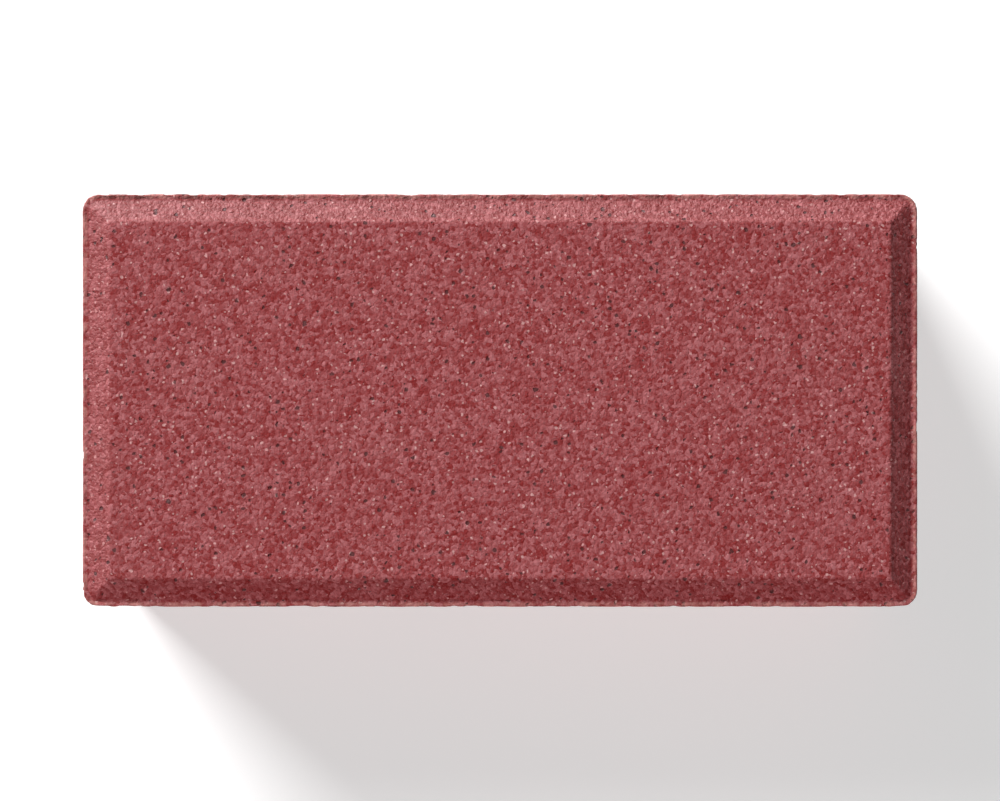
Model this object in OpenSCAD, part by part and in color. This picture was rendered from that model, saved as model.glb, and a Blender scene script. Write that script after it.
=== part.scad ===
// Rectangular concrete paving stone, one cast piece.
// It lies on its bed face on the XY plane, centred on the Z axis, with its length along X.
// Its top edges have a wide flat chamfer all round. At the foot of the chamfer a narrow flat lip
// runs round the stone, where the press plate stopped short of the mould wall.

/* [Laying pattern] */
// Length of one laying module, which is one stone and one joint
module_l = 200; // [120:1:400]
// Width of one laying module, which is one stone and one joint
module_w = 100; // [60:1:300]
// Width of the sanded joint between two laid stones
joint_w = 2; // [1:0.5:6]

/* [Stone] */
// Thickness from the bed face to the wearing face
stone_t = 60; // [30:1:140]
// Radius of the four upright corners
corner_r = 4; // [2:0.5:12]

/* [Top edge] */
// Width of the chamfer, seen from above
chamfer_w = 5.5; // [2:0.5:12]
// Rise of the chamfer for each millimetre that it runs inwards
chamfer_slope = 0.5; // [0.3:0.05:1]
// Width of the flat lip at the foot of the chamfer
lip_w = 1.5; // [0.5:0.25:1.75]

/* [Hidden] */

// Segments in a full circle
$fn = 96;
// How far a cutting shape passes the surface that it cuts
over = 1;

// Size of the stone itself, which leaves one joint out of each module
stone_l = module_l - joint_w;
stone_w = module_w - joint_w;

// Centre of the upright corner that is towards +X and +Y
corner_x = stone_l / 2 - corner_r;
corner_y = stone_w / 2 - corner_r;

// Depth of the chamfer below the wearing face
chamfer_d = chamfer_w * chamfer_slope;
// Height of the lip above the bed face
lip_z = stone_t - chamfer_d;
// Radius of the chamfer's foot at a corner, which keeps the lip the same width all round
foot_r = corner_r - lip_w;

// Plan of the stone: a rectangle with round corners
module stone_plan() {
    square([stone_l - 2 * corner_r, stone_w], center = true);
    square([stone_l, stone_w - 2 * corner_r], center = true);
    for (x = [-corner_x, corner_x], y = [-corner_y, corner_y])
        translate([x, y])
            circle(r = corner_r);
}

// Section of a stone of the given width: upright sides, two lips and two chamfers
module edge_section(width) {
    side = width / 2;
    foot = side - lip_w;
    arris = foot - chamfer_w;
    polygon([
        [-side, 0], [side, 0],
        [side, lip_z], [foot, lip_z], [arris, stone_t],
        [-arris, stone_t], [-foot, lip_z], [-side, lip_z]
    ]);
}

// The section pushed along X, which shapes the two long top edges
module long_edges() {
    rotate([90, 0, 90])
        linear_extrude(height = stone_l + 2 * over, center = true)
            edge_section(stone_w);
}

// The section pushed along Y, which shapes the two short top edges
module short_edges() {
    rotate([90, 0, 0])
        linear_extrude(height = stone_w + 2 * over, center = true)
            edge_section(stone_l);
}

// What is cut from one corner, so that the chamfer's foot turns round it as a cone.
// It stands at the origin with the corner towards +X and +Y.
module corner_waste() {
    difference() {
        cube([foot_r + over, foot_r + over, chamfer_d + over]);
        cylinder(h = foot_r * chamfer_slope, r1 = foot_r, r2 = 0);
    }
}

// The waste of all four corners
module all_corner_waste() {
    for (side_x = [0, 1], side_y = [0, 1])
        mirror([side_x, 0, 0])
            mirror([0, side_y, 0])
                translate([corner_x, corner_y, lip_z])
                    corner_waste();
}

// The whole stone
module paving_stone() {
    color([0.60, 0.31, 0.32])
        difference() {
            intersection() {
                linear_extrude(height = stone_t)
                    stone_plan();
                long_edges();
                short_edges();
            }
            all_corner_waste();
        }
}

paving_stone();
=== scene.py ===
# %% [markdown]
# # A red concrete paving stone
#
# One stone of a paved path, seen from straight above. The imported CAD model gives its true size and
# its plain shape. This script gives it the skin of real pressed concrete: sand grain, pinholes, the
# burr on its lip, the drag marks on its sides and the open, crumbly bed.
#
# The first cell loads the CAD model. It is the fixed frame that everything here is measured from, and
# it is never changed.

import bmesh
import bpy
import numpy as np
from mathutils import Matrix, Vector


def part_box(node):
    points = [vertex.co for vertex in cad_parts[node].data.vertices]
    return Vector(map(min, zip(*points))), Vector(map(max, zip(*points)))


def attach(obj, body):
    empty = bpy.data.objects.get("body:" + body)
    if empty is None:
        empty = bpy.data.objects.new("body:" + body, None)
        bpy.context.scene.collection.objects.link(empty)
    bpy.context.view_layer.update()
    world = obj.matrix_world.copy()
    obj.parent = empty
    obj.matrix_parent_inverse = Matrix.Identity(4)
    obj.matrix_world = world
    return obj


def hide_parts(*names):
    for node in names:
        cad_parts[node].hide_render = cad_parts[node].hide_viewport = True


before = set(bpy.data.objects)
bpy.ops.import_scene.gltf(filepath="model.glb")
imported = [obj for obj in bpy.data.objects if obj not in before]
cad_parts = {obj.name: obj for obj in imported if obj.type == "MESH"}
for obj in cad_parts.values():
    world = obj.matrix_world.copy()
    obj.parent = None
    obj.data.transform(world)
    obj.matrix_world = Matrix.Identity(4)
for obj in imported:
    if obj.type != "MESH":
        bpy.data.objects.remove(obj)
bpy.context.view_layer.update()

MM = 0.001
CAD_NODE = "paving_stone"


def in_mm(lengths):
    return [round(length / MM, 2) for length in lengths]


# %% [markdown]
# ## Sizes from the frame
#
# The stone could be modelled from a list of numbers, but then a change in the CAD model would leave
# this script behind. So every size is read from the CAD mesh. Its corners lie on only a few levels:
# the bed face, the lip and the wearing face. The widest point on each level says how wide it is.

# %% Measure the stone's levels
TOUCH = 0.01 * MM


def points_of(piece):
    return np.array([vert.co for vert in piece.data.vertices])


corners = np.abs(points_of(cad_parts[CAD_NODE]))
_, (half_length, half_width, top_z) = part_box(CAD_NODE)
wall = corners[corners[:, 0] > half_length - TOUCH]
lip_z = wall[:, 2].max()
corner_radius = half_width - wall[:, 1].max()

wearing_face = corners[corners[:, 2] > top_z - TOUCH]
arris_x, arris_y = wearing_face[:, 0].max(), wearing_face[:, 1].max()

beside_corner = corners[:, 1] < half_width - corner_radius + TOUCH
chamfer_foot_x = corners[(np.abs(corners[:, 2] - lip_z) < TOUCH) & beside_corner][:, 0].min()
lip_width = half_length - chamfer_foot_x
chamfer_width = chamfer_foot_x - arris_x
chamfer_slope = (top_z - lip_z) / chamfer_width

for name, size in {
    "half length": half_length, "half width": half_width, "thickness": top_z, "lip height": lip_z,
    "corner radius": corner_radius, "lip width": lip_width, "chamfer width": chamfer_width,
}.items():
    print(f"{name}: {size / MM:.2f} mm")

# %% [markdown]
# ## The block
#
# A paving stone is made by shaking damp concrete into a steel mould and pressing it from above with a
# plate. The mould wall gives the upright sides, and the plate gives the chamfered top.
#
# The shape could be copied from the CAD mesh, but that one is loose triangles. Modelling it again
# from a cube takes only a few strokes and gives clean faces. The cube stops at the height of the lip,
# because everything above the lip is raised from it later.
#
# Loading the frame left the CAD mesh selected. An operator acts on all that is selected, so
# everything is deselected first.

# %% A block as high as the lip
bpy.ops.object.select_all(action="DESELECT")
bpy.ops.mesh.primitive_cube_add(
    size=1,
    location=(0, 0, lip_z / 2),
    scale=(2 * half_length, 2 * half_width, lip_z),
)
stone = bpy.context.object
stone.name = stone.data.name = "red_paving_stone"
bpy.ops.object.transform_apply(location=True, rotation=True, scale=True)
print("block:", in_mm(stone.dimensions), "mm")

# %% [markdown]
# ## Choosing by a rule
#
# By hand an edge or a face is clicked before an operator works on it. A script picks it by its place
# or by the way it faces. Rules keep working when a size changes, while numbers of faces would not.

# %% Choose parts of the mesh by a rule
def choose(piece, kind, wanted):
    """In edit mode, selects only the verts, edges or faces for which wanted() is true."""
    bpy.ops.mesh.select_mode(type={"verts": "VERT", "edges": "EDGE", "faces": "FACE"}[kind])
    bpy.ops.mesh.select_all(action="DESELECT")
    mesh = bmesh.from_edit_mesh(piece.data)
    chosen = [part for part in getattr(mesh, kind) if wanted(part)]
    for part in chosen:
        part.select_set(True)
    bmesh.update_edit_mesh(piece.data)
    return len(chosen)


# %% Which edges stand upright
def is_upright(edge):
    return abs(edge.verts[0].co.z - edge.verts[1].co.z) > lip_z / 2


# %% Round the four upright corners
CORNER_STEPS = 8

bpy.ops.object.mode_set(mode="EDIT")
print("upright edges:", choose(stone, "edges", is_upright))
bpy.ops.mesh.bevel(offset=corner_radius, segments=CORNER_STEPS, affect="EDGES")

# %% [markdown]
# ## The lip and the chamfer
#
# The press plate is a little smaller than the mould, so a narrow flat lip is left round the stone.
# An inset of the top face gives it. The chamfer is two more insets that rise as they go in. The first
# one goes in by the radius of the lip's inner corners, which shrinks each round corner to a point
# and leaves a small cone below it. The second one goes on from that point with sharp, mitred corners.
#
# One inset over the whole chamfer would turn the round corners inside out, which is why there are two.

# %% Which faces lie level at a height
LEVEL = 0.99


def flat_at(height):
    return lambda face: face.normal.z > LEVEL and abs(face.verts[0].co.z - height) < TOUCH


# %% Inset the lip, then the round part of the chamfer
foot_radius = corner_radius - lip_width

choose(stone, "faces", flat_at(lip_z))
bpy.ops.mesh.inset(thickness=lip_width, depth=0)
bpy.ops.mesh.inset(thickness=foot_radius, depth=foot_radius * chamfer_slope)

# %% Close each shrunken corner to one point
mitre_z = lip_z + foot_radius * chamfer_slope
mitre_x, mitre_y = half_length - corner_radius, half_width - corner_radius
CLOSE = 0.6 * MM

for side_x, side_y in [(1, 1), (1, -1), (-1, 1), (-1, -1)]:
    point = Vector((side_x * mitre_x, side_y * mitre_y, mitre_z))
    found = choose(stone, "verts", lambda vert: (vert.co - point).length < CLOSE)
    bpy.context.scene.cursor.location = point
    bpy.ops.mesh.merge(type="CURSOR")
    print("merged", found, "points at", in_mm(point), "mm")

# %% Inset the mitred part of the chamfer
mitred_width = chamfer_width - foot_radius

choose(stone, "faces", flat_at(mitre_z))
bpy.ops.mesh.inset(thickness=mitred_width, depth=mitred_width * chamfer_slope)
raised = bmesh.from_edit_mesh(stone.data)
top_reached = max(vert.co.z for vert in raised.verts)
print("height:", round(top_reached / MM, 3), "mm,", len(raised.faces), "faces")

# %% [markdown]
# ## Soft arrises
#
# Sand can't hold a razor edge. The arris, which is the edge between the wearing face and the chamfer,
# is rubbed a little round, and so are the mitres and the outer edges. A bevel with a small width
# does this. Edges are chosen by how sharply their two faces turn, so that the many little edges
# on the round corners stay as they are.

# %% Bevel the sharp edges by less than a millimetre
SOFT_EDGE = 0.25 * MM
SHARP_TURN = np.radians(15)


def turns_sharply(edge):
    return edge.is_convex and edge.calc_face_angle(0) > SHARP_TURN


print("sharp edges:", choose(stone, "edges", turns_sharply))
bpy.ops.mesh.bevel(offset=SOFT_EDGE, segments=2, affect="EDGES")
bpy.ops.object.mode_set(mode="OBJECT")
print("softened:", len(stone.data.polygons), "faces")

# %% [markdown]
# ## A fine skin
#
# The block has only a few dozen faces, and pits and burrs need points to move. Subdividing would
# give long thin faces beside the round corners. A voxel remesh covers the whole stone with even
# little squares instead, and always gives one closed skin.

# %% Cover the stone with half-millimetre squares
SKIN_SQUARE = 0.45 * MM


def apply_last_modifier(piece):
    bpy.ops.object.modifier_apply(modifier=piece.modifiers[-1].name)


remesh = stone.modifiers.new("fine_skin", "REMESH")
remesh.mode = "VOXEL"
remesh.voxel_size = SKIN_SQUARE
apply_last_modifier(stone)
print("fine skin:", len(stone.data.polygons), "squares")

# %% [markdown]
# ## Patterns made of nodes
#
# Everything rough about the stone comes from a few patterns: soft noise, and round pits scattered
# at random. The same patterns are needed twice, first to dent the mesh and then to colour the hollows.
# Mesh nodes and material nodes have the same texture and maths nodes, so each pattern is written
# once, as a function that adds its nodes to whichever tree it is given.

# %% Helpers that add one node and give back its output
ACROSS, DOWN = 180, 170
NODES_IN_COLUMN = 4


def feed(tree, socket, value):
    """Joins value to the socket if it is an output, and otherwise sets it as a plain value."""
    if isinstance(value, bpy.types.NodeSocket):
        tree.links.new(value, socket)
    else:
        socket.default_value = value


def add_node(tree, kind, *values, **settings):
    """Adds a node beside the others, with its settings, and feeds its first sockets."""
    node = tree.nodes.new(kind)
    column, row = divmod(len(tree.nodes), NODES_IN_COLUMN)
    node.location = (ACROSS * column, -DOWN * row)
    for name, setting in settings.items():
        setattr(node, name, setting)
    for socket, value in zip(node.inputs, values):
        feed(tree, socket, value)
    return node


def maths(tree, operation, first, second=0.0):
    return add_node(tree, "ShaderNodeMath", first, second, operation=operation).outputs[0]


def vectors(tree, operation, first, second=(0.0, 0.0, 0.0)):
    return add_node(tree, "ShaderNodeVectorMath", first, second, operation=operation).outputs[0]


def scaled(tree, vector, length):
    node = add_node(tree, "ShaderNodeVectorMath", vector, operation="SCALE")
    feed(tree, node.inputs["Scale"], length)
    return node.outputs[0]


def split(tree, vector):
    return add_node(tree, "ShaderNodeSeparateXYZ", vector).outputs


def fade(tree, value, nothing_at, full_at):
    """Goes smoothly from 0 where value is nothing_at to 1 where it is full_at."""
    ends = (value, nothing_at, full_at)
    return add_node(tree, "ShaderNodeMapRange", *ends, interpolation_type="SMOOTHSTEP").outputs[0]


# %% Noise
def noise(tree, place, size, detail):
    node = add_node(tree, "ShaderNodeTexNoise")
    feed(tree, node.inputs["Vector"], place)
    feed(tree, node.inputs["Scale"], 1 / size)
    feed(tree, node.inputs["Detail"], detail)
    return node.outputs


def lumps(tree, place, size, detail=2.0):
    """Soft noise from 0 to 1, with lumps about size metres apart."""
    return noise(tree, place, size, detail)["Fac"]


def wander(tree, place, size, reach):
    """Moves the place a little to and fro, which makes round outlines ragged."""
    sway = vectors(tree, "SUBTRACT", noise(tree, place, size, 2.0)["Color"], (0.5, 0.5, 0.5))
    return vectors(tree, "ADD", place, scaled(tree, sway, reach))


# %% Cells and the pits in them
PIT_RIM = 0.4


def cells(tree, place, size):
    """Cuts space into cells about size metres wide, round random points. Gives each cell's own random
    number, and how far a place is from the cell's point, counted in cells."""
    node = add_node(tree, "ShaderNodeTexVoronoi")
    feed(tree, node.inputs["Vector"], place)
    feed(tree, node.inputs["Scale"], 1 / size)
    return split(tree, node.outputs["Color"])[0], node.outputs["Distance"]


def pits(tree, place, spacing, share, widest):
    """Round pits, 1 in the middle and 0 outside. Only a share of the cells, which are about spacing
    metres wide, holds a pit, and the widest has a radius of widest cells."""
    draw, away = cells(tree, place, spacing)
    chosen = maths(tree, "SUBTRACT", maths(tree, "ADD", draw, share), 1.0)
    radius = maths(tree, "MULTIPLY", maths(tree, "DIVIDE", chosen, share), widest)
    inside = maths(tree, "SUBTRACT", radius, away)
    return fade(tree, inside, nothing_at=0.0, full_at=PIT_RIM * widest)


# %% [markdown]
# ## Where each effect belongs
#
# The lip has a burr, the sides have drag marks, and the bed is open. A mask says where an effect
# shows. The masks come from the place of a point on the stone: how far in it lies from the wall, or
# how far out it lies from the arris, both seen from above.

# %% Masks from the place on the stone
def beyond(tree, place, side_x, side_y):
    """How far a point lies outside a rectangle round the middle, across and along."""
    outside = vectors(tree, "SUBTRACT", vectors(tree, "ABSOLUTE", place), (side_x, side_y, 0.0))
    return split(tree, outside)[:2]


def depth_from_wall(tree, place):
    """How far in from the upright wall a point lies, seen from above, also round the corners."""
    x, y = beyond(tree, place, mitre_x, mitre_y)
    outer_x, outer_y = maths(tree, "MAXIMUM", x), maths(tree, "MAXIMUM", y)
    squares = maths(tree, "ADD", maths(tree, "POWER", outer_x, 2.0), maths(tree, "POWER", outer_y, 2.0))
    round_part = maths(tree, "SQRT", squares)
    straight_part = maths(tree, "MINIMUM", maths(tree, "MAXIMUM", x, y), 0.0)
    return maths(tree, "SUBTRACT", corner_radius, maths(tree, "ADD", round_part, straight_part))


def distance_from_arris(tree, place):
    """How far outside the arris a point lies, seen from above, and less than 0 inside it."""
    return maths(tree, "MAXIMUM", *beyond(tree, place, arris_x, arris_y))


def band(tree, value, middle, reach):
    """1 where value is at the middle, fading to 0 on both sides, a reach away."""
    off = maths(tree, "ABSOLUTE", maths(tree, "SUBTRACT", value, middle))
    return fade(tree, off, nothing_at=reach, full_at=0.0)


# %% Sum and product of several values
def total(tree, *values):
    result = values[0]
    for value in values[1:]:
        result = maths(tree, "ADD", result, value)
    return result


def product(tree, *values):
    result = values[0]
    for value in values[1:]:
        result = maths(tree, "MULTIPLY", result, value)
    return result


# %% Move the skin by a pattern
def sink(tree, facing, depth):
    """A move straight into the stone."""
    return scaled(tree, facing, product(tree, depth, -1.0))


def shape_skin(piece, name, move_of):
    """Moves each point of the skin by what move_of(tree, place, facing) gives, then applies it."""
    tree = bpy.data.node_groups.new(name, "GeometryNodeTree")
    for direction in ("INPUT", "OUTPUT"):
        tree.interface.new_socket("Geometry", in_out=direction, socket_type="NodeSocketGeometry")
    start = add_node(tree, "NodeGroupInput")
    place = add_node(tree, "GeometryNodeInputPosition").outputs[0]
    facing = add_node(tree, "GeometryNodeInputNormal").outputs[0]
    mover = add_node(tree, "GeometryNodeSetPosition")
    feed(tree, mover.inputs["Geometry"], start.outputs[0])
    feed(tree, mover.inputs["Offset"], move_of(tree, place, facing))
    end = add_node(tree, "NodeGroupOutput")
    feed(tree, end.inputs[0], mover.outputs[0])
    modifier = piece.modifiers.new(name, "NODES")
    modifier.node_group = tree
    before = points_of(piece)
    apply_last_modifier(piece)
    moved = np.linalg.norm(points_of(piece) - before, axis=1)
    print(f"{name}: moved by up to {moved.max() / MM:.2f} mm, {moved.mean() / MM:.3f} mm on average")


# %% [markdown]
# ## The pressed face
#
# The press plate leaves the wearing face nearly flat, with sand grain, a few pinholes and slow
# waves that only show in low light. The chamfer is a bit coarser, because less mix is squeezed under
# the slope. Every effect is a depth below the CAD surface, so the stone can't grow out of its box.

# %% How deep each effect goes on the pressed face
WAVE_DEPTH = 0.03 * MM
GRAIN_DEPTH = 0.09 * MM
COARSE_DEPTH = 0.22 * MM
PINHOLE_DEPTH = 0.30 * MM
SLOPE_PIT_DEPTH = 0.25 * MM
CHIP_DEPTH = 0.18 * MM
GROOVE_DEPTH = 0.16 * MM
ARRIS_RUBBED = 0.85


# %% Pinholes in the pressed face
def pinholes(tree, place):
    return pits(tree, place, spacing=6 * MM, share=0.22, widest=0.11)


# %% Grain and pinholes on the flat and on the slope
def pressed_grain(tree, place):
    outside = distance_from_arris(tree, place)
    slope = fade(tree, outside, nothing_at=0.0, full_at=1.0 * MM)
    rubbed = product(tree, band(tree, outside, middle=0.0, reach=1.3 * MM), ARRIS_RUBBED)
    unrubbed = maths(tree, "SUBTRACT", 1.0, rubbed)
    waves = product(tree, lumps(tree, place, size=38 * MM), WAVE_DEPTH)
    grain = product(tree, unrubbed, lumps(tree, place, size=1.4 * MM), GRAIN_DEPTH)
    coarse = product(tree, slope, unrubbed, lumps(tree, place, size=2.2 * MM, detail=3.0), COARSE_DEPTH)
    holes = product(tree, pinholes(tree, place), PINHOLE_DEPTH)
    slope_pits = pits(tree, place, spacing=3 * MM, share=0.15, widest=0.22)
    return total(tree, waves, grain, coarse, holes, product(tree, slope, slope_pits, SLOPE_PIT_DEPTH))


# %% Chips on the arris and the groove at the chamfer's foot
def pressed_edges(tree, place):
    arris = band(tree, distance_from_arris(tree, place), middle=0.0, reach=0.8 * MM)
    chips = product(tree, arris, pits(tree, place, spacing=5 * MM, share=0.25, widest=0.30), CHIP_DEPTH)
    foot = band(tree, depth_from_wall(tree, place), middle=lip_width, reach=0.6 * MM)
    runs = fade(tree, lumps(tree, place, size=7 * MM), nothing_at=0.35, full_at=0.65)
    return total(tree, chips, product(tree, foot, runs, GROOVE_DEPTH))


# %% Sink the pressed face by all of them
def faces_up(tree, facing):
    return fade(tree, split(tree, facing)[2], nothing_at=0.35, full_at=0.7)


def pressed_move(tree, place, facing):
    depth = total(tree, pressed_grain(tree, place), pressed_edges(tree, place))
    return sink(tree, facing, product(tree, faces_up(tree, facing), depth))


shape_skin(stone, "pressed_face", pressed_move)

# %% [markdown]
# ## The burr on the lip
#
# Wet mix creeps up between the press plate and the mould wall and stays on the lip as a thin
# ragged burr. It is the only thing that rises above the CAD surface, and it stays far below the
# wearing face.

# %% Raise the burr near the outer edge of the lip
BURR_IN = 0.45 * MM
BURR_REACH = 0.60 * MM
BURR_LOW, BURR_HIGH = 0.05 * MM, 0.40 * MM


def burr_move(tree, place, facing):
    ridge = band(tree, depth_from_wall(tree, place), middle=BURR_IN, reach=BURR_REACH)
    ragged = fade(tree, lumps(tree, place, size=2.4 * MM, detail=3.0), nothing_at=0.38, full_at=0.68)
    runs = fade(tree, lumps(tree, place, size=16 * MM), nothing_at=0.30, full_at=0.62)
    height = total(tree, BURR_LOW, product(tree, ragged, runs, BURR_HIGH - BURR_LOW))
    rise = product(tree, ridge, faces_up(tree, facing), height)
    return scaled(tree, (0.0, 0.0, 1.0), rise)


shape_skin(stone, "burr", burr_move)

# %% [markdown]
# ## The sides
#
# The sides slide along the steel mould as the stone is pushed out while the mix is still damp. That
# leaves fine upright drag marks, lumps of aggregate behind a thin skin of cement paste, and open
# voids where air was trapped against the wall.

# %% How deep each effect goes on the sides
DRAG_DEPTH = 0.16 * MM
AGGREGATE_DEPTH = 0.50 * MM
SIDE_VOID_DEPTH = 1.6 * MM
SMALL_VOID_DEPTH = 0.8 * MM
UPRIGHT_STRETCH = (1.0, 1.0, 0.10)


# %% Voids in the sides: some wide, many small
def side_voids(tree, place):
    ragged = wander(tree, place, size=2.5 * MM, reach=1.6 * MM)
    wide = pits(tree, ragged, spacing=7 * MM, share=0.40, widest=0.34)
    small = pits(tree, ragged, spacing=3.2 * MM, share=0.45, widest=0.40)
    return wide, small


# %% Drag marks, lumps and voids together
def side_depth(tree, place):
    stretched = vectors(tree, "MULTIPLY", place, UPRIGHT_STRETCH)
    drag = product(tree, lumps(tree, stretched, size=1.8 * MM, detail=3.0), DRAG_DEPTH)
    stones = fade(tree, lumps(tree, place, size=3.6 * MM, detail=3.0), nothing_at=0.34, full_at=0.66)
    wide, small = side_voids(tree, place)
    voids = total(tree, product(tree, wide, SIDE_VOID_DEPTH), product(tree, small, SMALL_VOID_DEPTH))
    return total(tree, drag, product(tree, stones, AGGREGATE_DEPTH), voids)


# %% Sink the sides
def faces_sideways(tree, facing):
    upright = maths(tree, "ABSOLUTE", split(tree, facing)[2])
    return fade(tree, upright, nothing_at=0.65, full_at=0.3)


def side_move(tree, place, facing):
    return sink(tree, facing, product(tree, faces_sideways(tree, facing), side_depth(tree, place)))


shape_skin(stone, "sides", side_move)

# %% [markdown]
# ## The bed
#
# The bed lay on the pallet under the mould, where the mix is driest. It is never seen once the
# stone is laid, so nobody smooths it: it is open and coarse, and its edge crumbles a little. Enough
# of it stays on the level of the bed face for the stone to lie flat.

# %% How deep each effect goes on the bed
UNEVEN_DEPTH = 0.75 * MM
GRIT_DEPTH = 0.14 * MM
BED_VOID_DEPTH = 1.9 * MM
CRUMB_DEPTH = 0.9 * MM
CRUMB_REACH = 2.6 * MM
CRUMB_FULL = 0.3 * MM


# %% Voids in the bed
def bed_voids(tree, place):
    ragged = wander(tree, place, size=3.0 * MM, reach=2.2 * MM)
    wide = pits(tree, ragged, spacing=9 * MM, share=0.36, widest=0.38)
    small = pits(tree, ragged, spacing=3.6 * MM, share=0.42, widest=0.38)
    return wide, small


# %% Hollows, grit and voids together
def bed_depth(tree, place):
    low_places = fade(tree, lumps(tree, place, size=6 * MM, detail=3.0), nothing_at=0.42, full_at=0.75)
    grit = product(tree, lumps(tree, place, size=1.9 * MM), GRIT_DEPTH)
    wide, small = bed_voids(tree, place)
    voids = total(tree, product(tree, wide, BED_VOID_DEPTH), product(tree, small, SMALL_VOID_DEPTH))
    return total(tree, product(tree, low_places, UNEVEN_DEPTH), grit, voids)


# %% Crumbs broken off the lower edge
def edge_crumbs(tree, place):
    near_bed = fade(tree, split(tree, place)[2], nothing_at=CRUMB_REACH, full_at=CRUMB_FULL)
    near_wall = fade(tree, depth_from_wall(tree, place), nothing_at=CRUMB_REACH, full_at=CRUMB_FULL)
    broken = fade(tree, lumps(tree, place, size=7 * MM, detail=3.0), nothing_at=0.46, full_at=0.66)
    return product(tree, near_bed, near_wall, broken, CRUMB_DEPTH)


# %% Open the bed and crumble its edge
def faces_down(tree, facing):
    return fade(tree, split(tree, facing)[2], nothing_at=-0.35, full_at=-0.7)


def bed_move(tree, place, facing):
    depth = product(tree, faces_down(tree, facing), bed_depth(tree, place))
    return sink(tree, facing, total(tree, depth, edge_crumbs(tree, place)))


shape_skin(stone, "bed", bed_move)

# %% [markdown]
# ## Fewer triangles
#
# The skin has far more squares than a reusable part should carry. Decimate joins them where the
# surface is plainest. The top is what people look at, so it keeps fine triangles, and the sides and
# the bed may be coarser. A vertex group tells Decimate which part it may touch.

# %% Thin out the sides and bed, then the top
TOP_TRIANGLES = 98_000
OTHER_TRIANGLES = 98_000
TOP_STARTS = lip_z - 0.8 * MM


def triangles_now(piece):
    piece.data.calc_loop_triangles()
    return len(piece.data.loop_triangles)


def thin_out(piece, name, rule, fewer):
    """Takes away about that many triangles where rule(x, y, z) is true."""
    group = piece.vertex_groups.new(name=name)
    group.add([vert.index for vert in piece.data.vertices if rule(*vert.co)], 1.0, "REPLACE")
    modifier = piece.modifiers.new(name, "DECIMATE")
    modifier.ratio = 1 - max(fewer, 0) / triangles_now(piece)
    modifier.vertex_group = name
    apply_last_modifier(piece)
    piece.vertex_groups.remove(piece.vertex_groups[name])
    print(f"{name} thinned: {triangles_now(piece)} triangles")


top_squares = sum(1 for face in stone.data.polygons if face.center.z > TOP_STARTS)
top_now = round(top_squares / len(stone.data.polygons) * triangles_now(stone))
other_now = triangles_now(stone) - top_now
thin_out(stone, "sides_and_bed", lambda x, y, z: z < TOP_STARTS, other_now - OTHER_TRIANGLES)
thin_out(stone, "top", lambda x, y, z: z > TOP_STARTS, top_now - TOP_TRIANGLES)

# %% Smooth shading
bpy.ops.object.shade_smooth()
print("smooth faces:", sum(1 for face in stone.data.polygons if face.use_smooth))

# %% [markdown]
# ## Three regions, laid flat
#
# The pressed top, the sides and the bed look different, so each gets its own material. A UV map
# lays the six sides of the stone side by side on one square, with the top twice as large as the
# rest. Unwrapping by an operator would cut the rough skin into thousands of scraps. Here each
# triangle goes to the side it lies nearest to and faces, and is laid flat straight along that side.

# %% Which side each triangle belongs to
SIDES = {
    "top": (0, 0, 1), "bed": (0, 0, -1),
    "right": (1, 0, 0), "left": (-1, 0, 0), "back": (0, 1, 0), "front": (0, -1, 0),
}
side_normals = np.array(list(SIDES.values()), float)
side_reach = np.array([lip_z, 0.0, half_length, half_length, half_width, half_width])
PULL_OF_FACING = 1.0 * MM

centres = np.array([face.center for face in stone.data.polygons])
facings = np.array([face.normal for face in stone.data.polygons])
below_side = side_reach - centres @ side_normals.T
side_of_face = np.argmin(below_side - PULL_OF_FACING * (facings @ side_normals.T), axis=1)
for number, name in enumerate(SIDES):
    print(name, int((side_of_face == number).sum()), "faces")

# %% Lay each side flat on the square
SQUARE = 1024
# For each side: where its lower left corner goes, in the square's units, and how many units one
# millimetre takes. Its across and upward directions follow.
LAYOUT = {
    "top": (12, 12, 5.05, (1, 0, 0), (0, 1, 0)),
    "bed": (12, 524, 2.48, (1, 0, 0), (0, -1, 0)),
    "front": (12, 786, 2.48, (1, 0, 0), (0, 0, 1)),
    "back": (518, 524, 2.48, (-1, 0, 0), (0, 0, 1)),
    "right": (518, 690, 2.48, (0, 1, 0), (0, 0, 1)),
    "left": (772, 690, 2.48, (0, -1, 0), (0, 0, 1)),
}
corner_of_loop = np.array([loop.vertex_index for loop in stone.data.loops])
side_of_loop = np.repeat(side_of_face, [face.loop_total for face in stone.data.polygons])
places = points_of(stone)[corner_of_loop]
spots = np.zeros((len(places), 2))
for number, name in enumerate(SIDES):
    start_u, start_v, units, across, upward = LAYOUT[name]
    here = side_of_loop == number
    flat = places[here] @ np.array([across, upward], float).T
    flat = (flat - flat.min(axis=0)) / MM * units
    spots[here] = (flat + (start_u, start_v)) / SQUARE
    print(name, "fills", [round(reach) for reach in flat.max(axis=0)], "units")
bake_map = stone.data.uv_layers.new(name="OFBake")
bake_map.data.foreach_set("uv", spots.ravel())

# %% [markdown]
# ## The concrete
#
# Red concrete is grey cement and sand with red iron oxide stirred in. Where the paste lies thin over a
# grain it looks pinkish, and where it lies thick it is a deep red. Bare pale grains show among them,
# and pores that are painted dark as shade, all about a millimetre wide or less. One flat colour would
# look like plastic, so the colour, the roughness and the bump all come from the same grains. Each
# effect is a node group, built once, and each of the three materials sets its own strengths.

# %% Build a node group with named sockets
def new_group(name, inputs, outputs):
    tree = bpy.data.node_groups.new(name, "ShaderNodeTree")
    for direction, sockets in (("INPUT", inputs), ("OUTPUT", outputs)):
        for label, kind in sockets.items():
            tree.interface.new_socket(label, in_out=direction, socket_type="NodeSocket" + kind)
    start = add_node(tree, "NodeGroupInput")
    end = add_node(tree, "NodeGroupOutput")
    return tree, start.outputs, end.inputs


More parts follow.
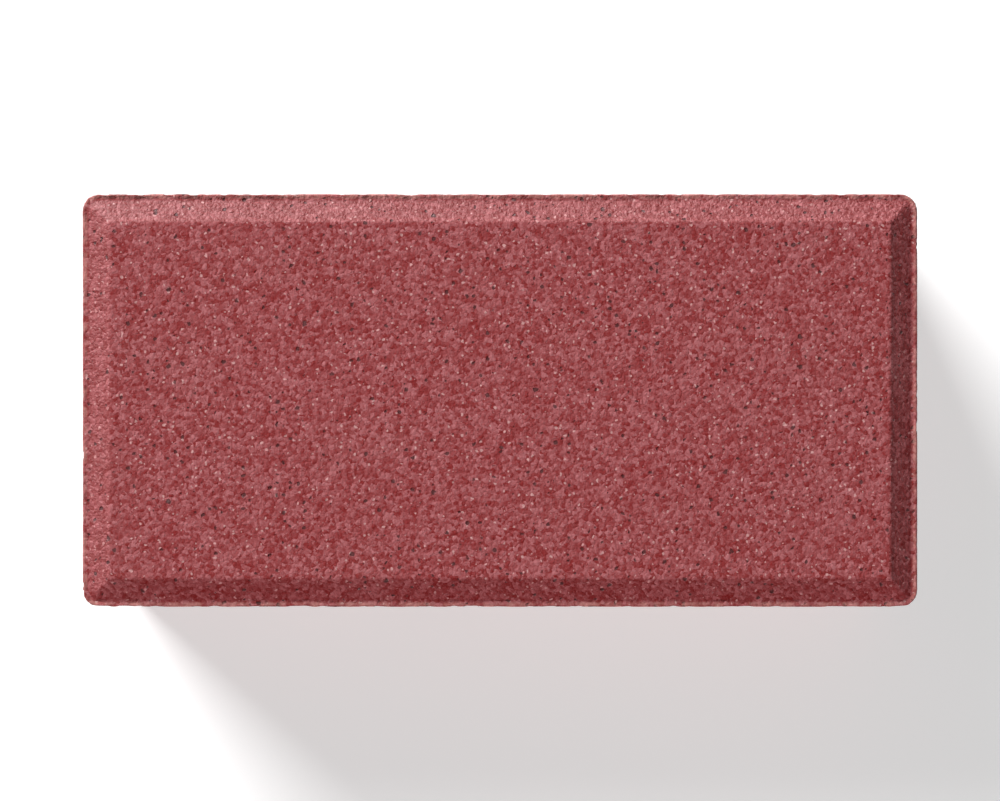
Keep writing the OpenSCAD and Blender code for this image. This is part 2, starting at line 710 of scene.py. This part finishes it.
def place_group(tree, group, **values):
    """Places a group in a material and sets its inputs by name, with _ for a space."""
    node = add_node(tree, "ShaderNodeGroup", node_tree=group)
    for label, value in values.items():
        feed(tree, node.inputs[label.replace("_", " ")], value)
    return node.outputs


# %% [markdown]
# ## Sand grain
#
# Close up, pressed concrete is packed sand coated with red paste. A Voronoi texture cuts space into
# cells round random points, and each cell serves as one grain with its own shade and its own domed top.
# A coarse and a fine layer together look like real sand, where one layer would look like a honeycomb.
# Many cells also hold a bare pale grain or a pore with painted shade, and most of those are tiny.

# %% One layer of packed grains
def packed_grains(tree, place, size):
    """Grains about size metres wide: a random shade for each, and a domed height."""
    shade, away = cells(tree, place, size)
    return shade, fade(tree, away, nothing_at=0.75, full_at=0.0)


# %% Sand grain: a shade for each grain, pale grains, pores for painted shade and the height
OTHER_CELLS = (0.31, 0.17, 0.23)
BIG_SHADE, SMALL_SHADE = 0.7, 0.3
MORE_DEEP_THAN_PALE = 1.5
BIG_DOME, BIG_STEP, SMALL_DOME, PORE_DROP = 0.55, 0.45, 0.30, 0.9

grain_group, asked, given = new_group(
    "sand_grain",
    {"Place": "Vector", "Pale share": "Float", "Pore share": "Float"},
    {"Shade": "Float", "Pale": "Float", "Pore": "Float", "Height": "Float"},
)
place = wander(grain_group, asked["Place"], size=1.2 * MM, reach=1.1 * MM)
big_shade, big_dome = packed_grains(grain_group, place, size=0.88 * MM)
small_shade, small_dome = packed_grains(grain_group, place, size=0.47 * MM)
pale = pits(grain_group, place, spacing=1.1 * MM, share=asked["Pale share"], widest=0.40)
elsewhere = vectors(grain_group, "ADD", place, OTHER_CELLS)
# Pores: their pits go into the bump, and the materials later paint shade into them.
pore_and_shade = pits(grain_group, elsewhere, spacing=1.6 * MM, share=asked["Pore share"], widest=0.39)
height = total(
    grain_group,
    product(grain_group, big_dome, BIG_DOME),
    product(grain_group, big_shade, BIG_STEP),
    product(grain_group, small_dome, SMALL_DOME),
    product(grain_group, pore_and_shade, -PORE_DROP),
)
shade = total(
    grain_group,
    product(grain_group, big_shade, BIG_SHADE),
    product(grain_group, small_shade, SMALL_SHADE),
)
feed(grain_group, given["Shade"], maths(grain_group, "POWER", shade, MORE_DEEP_THAN_PALE))
feed(grain_group, given["Pale"], pale)
feed(grain_group, given["Pore"], pore_and_shade)
feed(grain_group, given["Height"], height)

# %% [markdown]
# ## Pigment clouds and lime bloom
#
# Pigment is never stirred in quite evenly, so the sides and the bed are cloudy. Lime bloom is the pale
# veil that damp leaves on the stone as it dries. Both are soft noise, slow for the clouds, and slow
# times fine for the bloom, which settles on the grains and not in flat sheets.

# %% Pigment clouds: slow changes of the red
QUICK_SHARE = 0.7

cloud_group, asked, given = new_group("pigment_clouds", {"Place": "Vector"}, {"Cloud": "Float"})
slow = lumps(cloud_group, asked["Place"], size=55 * MM, detail=3.0)
quick = lumps(cloud_group, asked["Place"], size=7 * MM, detail=3.0)
mixed = total(cloud_group, slow, product(cloud_group, quick, QUICK_SHARE), -QUICK_SHARE / 2)
feed(cloud_group, given["Cloud"], fade(cloud_group, mixed, nothing_at=0.25, full_at=0.75))

# %% Lime bloom: the pale veil that damp leaves on the faces
bloom_group, asked, given = new_group(
    "lime_bloom",
    {"Place": "Vector", "Amount": "Float"},
    {"Veil": "Float"},
)
slow = lumps(bloom_group, asked["Place"], size=20 * MM, detail=4.0)
fine = lumps(bloom_group, asked["Place"], size=1.1 * MM, detail=3.0)
patches = fade(bloom_group, slow, nothing_at=0.45, full_at=0.8)
speckle = fade(bloom_group, fine, nothing_at=0.35, full_at=0.75)
feed(bloom_group, given["Veil"], product(bloom_group, patches, speckle, asked["Amount"]))
print("node groups:", [tree.name for tree in bpy.data.node_groups if tree.type == "SHADER"])


# %% [markdown]
# ## One recipe, three concretes
#
# The pressed top, the mould sides and the open bed are the same mix with different skins. One function
# joins the three groups to a shader. What a face has of its own, such as its voids, comes from a small
# function that is handed in. Numbers that are the same all over, such as the shine, are set on the
# shader itself, so that an exported model keeps them.

# %% Mix two colours by a mask
def blend_colours(tree, mask, under, over):
    node = add_node(tree, "ShaderNodeMix", data_type="RGBA")
    for label, value in {"Factor_Float": mask, "A_Color": under, "B_Color": over}.items():
        socket = next(item for item in node.inputs if item.identifier == label)
        feed(tree, socket, value)
    return next(item for item in node.outputs if item.identifier == "Result_Color")


# %% A concrete with its own colours and strengths
LIME = (0.62, 0.45, 0.42, 1)
# How much the bare pale grains show, and how much painted shade darkens the pores.
PALE_SHOWS, PORE_SHADE_SHOWS = 0.7, 0.8
PALE_SMOOTHER = 0.10
LIME_DULLER = 0.06
HOLLOW_DEPTH = 2.5
GRAIN_MIDDLE = 0.7
SLOPE_COARSER = 0.3
SLOPE_SMOOTHER = 0.33


def concrete(
    name, extras, deep, light, pale, pore_and_shade, pale_share, pore_share,
    clouding, bloom, roughness, shine, bump,
):
    """Deep and light are the darkest and the lightest red of the paste, and pale is the colour of bare
    grains. The pores get a dark colour, which is painted shade. The shares say how many cells hold one."""
    material = bpy.data.materials.new(name)
    material.use_nodes = True
    tree = material.node_tree
    shader = tree.nodes["Principled BSDF"]
    shader.inputs["Specular IOR Level"].default_value = shine
    place = add_node(tree, "ShaderNodeTexCoord").outputs["Object"]
    grain = place_group(tree, grain_group, Place=place, Pale_share=pale_share, Pore_share=pore_share)
    cloud = place_group(tree, cloud_group, Place=place)["Cloud"]
    veil = place_group(tree, bloom_group, Place=place, Amount=bloom)["Veil"]

    tone = total(tree, product(tree, grain["Shade"], 1 - clouding), product(tree, cloud, clouding))
    colour = blend_colours(tree, tone, deep, light)
    colour = blend_colours(tree, product(tree, grain["Pale"], PALE_SHOWS), colour, pale)
    # The pores are darkened with a colour that is painted shade.
    colour = blend_colours(tree, product(tree, grain["Pore"], PORE_SHADE_SHOWS), colour, pore_and_shade)
    colour, hollow, slope = extras(tree, place, colour)
    feed(tree, shader.inputs["Base Color"], blend_colours(tree, veil, colour, LIME))

    smoother = product(tree, grain["Pale"], -PALE_SMOOTHER)
    dull = total(tree, roughness, smoother, product(tree, veil, LIME_DULLER))
    rubbed = product(tree, slope, -SLOPE_SMOOTHER)
    feed(tree, shader.inputs["Roughness"], total(tree, dull, rubbed))

    relief = add_node(tree, "ShaderNodeBump")
    height = total(tree, grain["Height"], product(tree, hollow, -HOLLOW_DEPTH))
    coarser = product(tree, total(tree, height, -GRAIN_MIDDLE), slope, SLOPE_COARSER)
    feed(tree, relief.inputs["Height"], total(tree, height, coarser))
    feed(tree, relief.inputs["Distance"], bump)
    feed(tree, relief.inputs["Strength"], 1.0)
    feed(tree, shader.inputs["Normal"], relief.outputs["Normal"])
    return material


# %% [markdown]
# ## What each face adds
#
# Under the slope of the press plate the grain stays coarser, but the plate rubs the top of each grain
# as it lifts. So the chamfer is rougher in relief, shines more than the flat face, and is a deeper
# red. The lip is paler, because lime dries out of the burr. The sides and the bed show bare
# aggregate. Voids and pinholes get painted shade: a dark colour laid on with the same patterns that
# dented the mesh, so the painted shade lies in the hollows.

# %% Paint shade into the hollows
# The dark colour that is painted into voids and pinholes as shade, and how strongly it covers them.
PAINTED_HOLLOW_SHADE_COLOUR = (0.05, 0.010, 0.010, 1)
PAINTED_HOLLOW_SHADE_STRENGTH = 0.65


# Paints shade: lays the dark colour over the hollows, where shade would fall.
def paint_shade_in_hollows(tree, colour, hollow):
    return blend_colours(tree, product(tree, hollow, PAINTED_HOLLOW_SHADE_STRENGTH), colour, PAINTED_HOLLOW_SHADE_COLOUR)


# %% The pressed top: a rubbed chamfer, painted shade in the pinholes and a pale lip
RUBBED_TINT = (0.89, 0.71, 0.72)
LIP_COLOUR = (0.62, 0.30, 0.26, 1)
LIP_SHOWS = 0.45


def pressed_extras(tree, place, colour):
    inward, outward = depth_from_wall(tree, place), distance_from_arris(tree, place)
    off_lip = fade(tree, inward, nothing_at=0.9 * lip_width, full_at=1.2 * lip_width)
    chamfer = product(tree, off_lip, fade(tree, outward, nothing_at=-0.4 * MM, full_at=0.5 * MM))
    colour = blend_colours(tree, chamfer, colour, vectors(tree, "MULTIPLY", colour, RUBBED_TINT))
    hollow = pinholes(tree, place)
    # Painted shade in the pinholes.
    colour = paint_shade_in_hollows(tree, colour, hollow)
    lip = fade(tree, inward, nothing_at=lip_width, full_at=0.6 * lip_width)
    patchy = fade(tree, lumps(tree, place, size=2.0 * MM), nothing_at=0.3, full_at=0.7)
    colour = blend_colours(tree, product(tree, lip, patchy, LIP_SHOWS), colour, LIP_COLOUR)
    return colour, hollow, chamfer


# %% The sides: drag marks, bare aggregate and painted shade in the voids
DRAG_STRETCH = (1.0, 1.0, 0.08)
DRAG_COLOUR = (0.40, 0.115, 0.105, 1)
DRAG_SHOWS = 0.30
SIDE_AGGREGATE = (0.33, 0.19, 0.155, 1)
SIDE_AGGREGATE_SHOWS = 0.55
NO_SLOPE = 0.0


def side_extras(tree, place, colour):
    stretched = vectors(tree, "MULTIPLY", place, DRAG_STRETCH)
    drag = fade(tree, lumps(tree, stretched, size=2.4 * MM, detail=3.0), nothing_at=0.45, full_at=0.75)
    colour = blend_colours(tree, product(tree, drag, DRAG_SHOWS), colour, DRAG_COLOUR)
    bare = pits(tree, place, spacing=5.5 * MM, share=0.30, widest=0.30)
    colour = blend_colours(tree, product(tree, bare, SIDE_AGGREGATE_SHOWS), colour, SIDE_AGGREGATE)
    hollow = maths(tree, "MAXIMUM", *side_voids(tree, place))
    # Painted shade in the voids of the sides.
    return paint_shade_in_hollows(tree, colour, hollow), hollow, NO_SLOPE


# %% The bed: more bare aggregate, and painted shade in its open voids
BED_AGGREGATE = (0.32, 0.20, 0.165, 1)
BED_AGGREGATE_SHOWS = 0.6


def bed_extras(tree, place, colour):
    bare = pits(tree, place, spacing=4.5 * MM, share=0.45, widest=0.36)
    colour = blend_colours(tree, product(tree, bare, BED_AGGREGATE_SHOWS), colour, BED_AGGREGATE)
    hollow = maths(tree, "MAXIMUM", *bed_voids(tree, place))
    # Painted shade in the voids of the bed.
    return paint_shade_in_hollows(tree, colour, hollow), hollow, NO_SLOPE


# %% The pressed top
top_finish = concrete(
    "pressed_concrete", pressed_extras,
    deep=(0.205, 0.0005, 0.001, 1), light=(0.438, 0.136, 0.146, 1),
    pale=(0.62, 0.34, 0.33, 1), pore_and_shade=(0.04, 0.004, 0.004, 1),
    pale_share=0.60, pore_share=0.64, clouding=0.02, bloom=0.05,
    roughness=0.97, shine=0.80, bump=0.16 * MM,
)

# %% The mould sides
side_finish = concrete(
    "mould_side_concrete", side_extras,
    deep=(0.115, 0.006, 0.007, 1), light=(0.360, 0.108, 0.107, 1),
    pale=(0.44, 0.24, 0.22, 1), pore_and_shade=(0.03, 0.006, 0.006, 1),
    pale_share=0.55, pore_share=0.60, clouding=0.22, bloom=0.20,
    roughness=0.92, shine=0.30, bump=0.20 * MM,
)

# %% The open bed
bed_finish = concrete(
    "open_bed_concrete", bed_extras,
    deep=(0.140, 0.013, 0.014, 1), light=(0.400, 0.141, 0.137, 1),
    pale=(0.48, 0.28, 0.25, 1), pore_and_shade=(0.03, 0.006, 0.006, 1),
    pale_share=0.60, pore_share=0.65, clouding=0.25, bloom=0.20,
    roughness=0.93, shine=0.30, bump=0.24 * MM,
)

# %% Give each triangle its finish
for material in (top_finish, side_finish, bed_finish):
    stone.data.materials.append(material)
TOP, SIDE, BED = range(3)
finish_of_side = np.array([TOP, BED, SIDE, SIDE, SIDE, SIDE])
finish_of_face = finish_of_side[side_of_face].astype(np.int32)
stone.data.polygons.foreach_set("material_index", finish_of_face)
stone.data.update()
for number, slot in enumerate(stone.material_slots):
    print(slot.name, "covers", int((finish_of_face == number).sum()), "faces")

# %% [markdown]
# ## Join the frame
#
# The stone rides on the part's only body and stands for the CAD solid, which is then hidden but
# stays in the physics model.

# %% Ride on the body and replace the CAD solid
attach(stone, "root")
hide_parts(CAD_NODE)
print(stone.name, "rides on root")

# %% [markdown]
# ## Floor and light
#
# The stone lies on a plain pale floor, which glows a little so that its shadow side stays pale. One
# soft key light from the upper left gives each chamfer its own tone. A weaker one, low on the other
# side, lifts the dark chamfers. It is hidden from gloss, because a mirror image of it would grey them.

# %% A pale floor
WHITE = (1, 1, 1, 1)
FLOOR_GREY = (0.70, 0.70, 0.70, 1)
FLOOR_ROUGHNESS = 0.9
FLOOR_GLOW = 0.48
FLOOR_SIDE = 8

bpy.ops.object.select_all(action="DESELECT")
bpy.ops.mesh.primitive_plane_add(size=FLOOR_SIDE, location=(0, 0, 0))
floor = bpy.context.object
floor.name = floor.data.name = "pale_floor"
floor_paint = bpy.data.materials.new("floor_paint")
floor_paint.use_nodes = True
floor_shader = floor_paint.node_tree.nodes["Principled BSDF"]
floor_shader.inputs["Base Color"].default_value = FLOOR_GREY
floor_shader.inputs["Roughness"].default_value = FLOOR_ROUGHNESS
floor_shader.inputs["Emission Color"].default_value = WHITE
floor_shader.inputs["Emission Strength"].default_value = FLOOR_GLOW
floor.data.materials.append(floor_paint)
print("floor:", floor.name)

# %% Soft light all round
ROOM_GLOW = 0.03

world = bpy.data.worlds.new("studio")
world.use_nodes = True
room = world.node_tree.nodes["Background"]
room.inputs["Color"].default_value = WHITE
room.inputs["Strength"].default_value = ROOM_GLOW
bpy.context.scene.world = world
bpy.context.scene.view_settings.view_transform = "Standard"


def soft_light(name, place, side, watts):
    bpy.ops.object.light_add(type="AREA", location=place)
    light = bpy.context.object
    light.name = light.data.name = name
    light.data.shape = "SQUARE"
    light.data.size = side
    light.data.energy = watts
    light.visible_camera = False
    light.rotation_euler = (-Vector(place)).to_track_quat("-Z", "Y").to_euler()
    print(name, "at", [round(value, 2) for value in place], "m,", watts, "W")
    return light


soft_light("key_light", place=(-1.80, 2.48, 1.60), side=1.6, watts=240)
low_fill = soft_light("low_fill", place=(0.37, -2.645, 0.52), side=0.9, watts=69)
low_fill.visible_glossy = False

# %% [markdown]
# ## Camera
#
# The camera looks straight down on the stone with a long lens, so that its sides don't show. It stands
# as far away as makes the stone fill most of the picture's width.

# %% The camera, straight above
LENS = 90
SENSOR = 36
STONE_IN_FRAME = 0.84

distance = LENS / SENSOR * (2 * half_length) / STONE_IN_FRAME
bpy.ops.object.camera_add(location=(0, 0, top_z + distance), rotation=(0, 0, 0))
camera = bpy.context.object
camera.name = camera.data.name = "camera"
camera.data.lens = LENS
camera.data.sensor_width = SENSOR
bpy.context.scene.camera = camera
print("camera:", round(distance, 3), "m above the wearing face")
